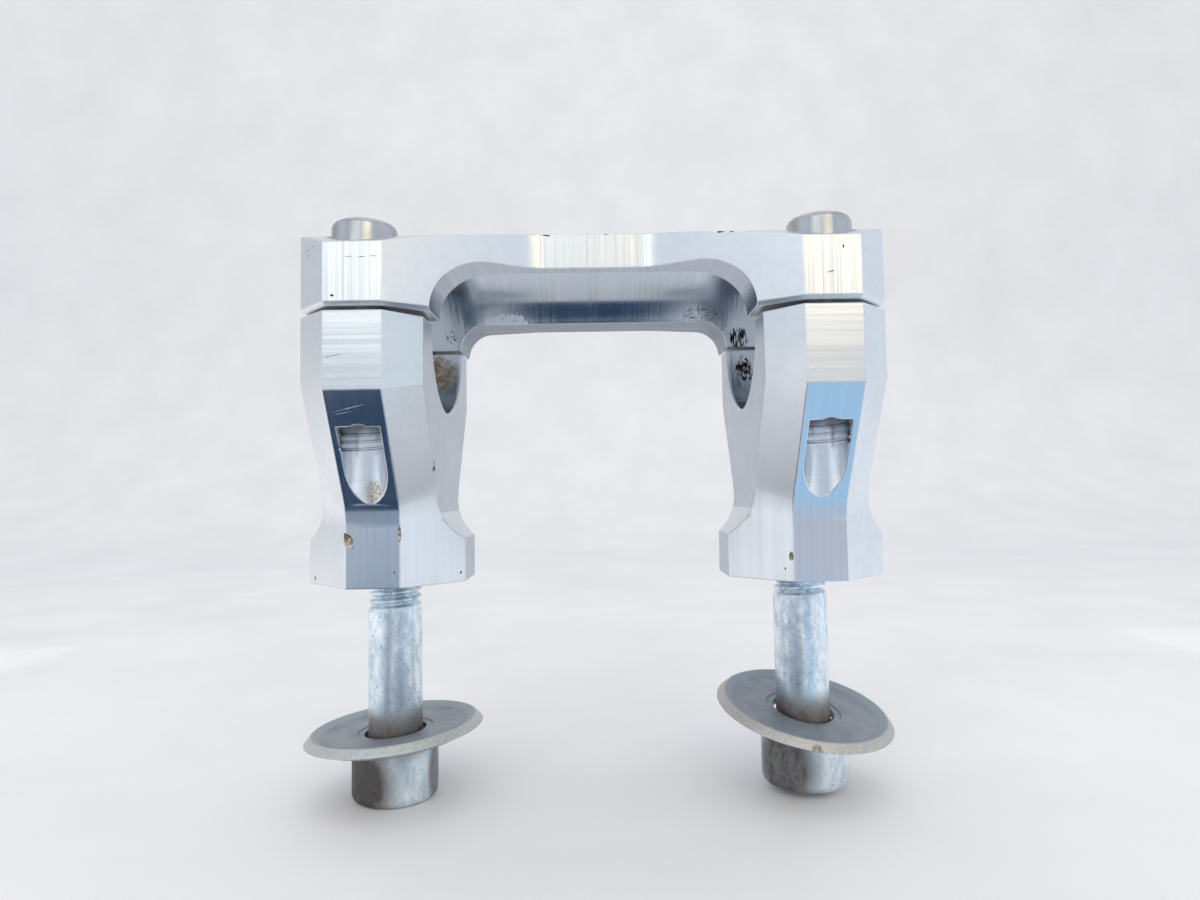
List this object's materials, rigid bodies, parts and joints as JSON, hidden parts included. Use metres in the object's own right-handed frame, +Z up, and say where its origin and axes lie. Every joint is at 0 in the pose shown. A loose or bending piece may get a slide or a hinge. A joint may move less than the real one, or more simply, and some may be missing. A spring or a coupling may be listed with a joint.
{
  "type": "handlebar riser",
  "caption": "Bridge-type handlebar riser: octagonal milled aluminium posts under a one-piece arched clamp for a round bar, held by bolts from below with cup washers.",
  "frame": {"origin": "on the plane where the risers stand, midway between the base bolts", "axes": "+X along the handlebar, +Y from the front of the clamp to its back, +Z up along the bolts"},
  "size_m": [0.1105, 0.0532, 0.1042],
  "materials": {
    "milled_aluminium": "satin milled, clear anodised",
    "screw_steel": "satin zinc plate",
    "bolt_steel": "worn zinc plate",
    "washer_steel": "matt worn plate"
  },
  "bodies": {
    "root": {"top_bridge": "milled_aluminium", "left_riser": "milled_aluminium", "right_riser": "milled_aluminium", "front_left_clamp_screw": "screw_steel", "front_right_clamp_screw": "screw_steel", "rear_left_clamp_screw": "screw_steel", "rear_right_clamp_screw": "screw_steel", "left_base_bolt": "bolt_steel", "right_base_bolt": "bolt_steel", "left_cup_washer": "washer_steel", "right_cup_washer": "washer_steel"}
  },
  "joints": []
}
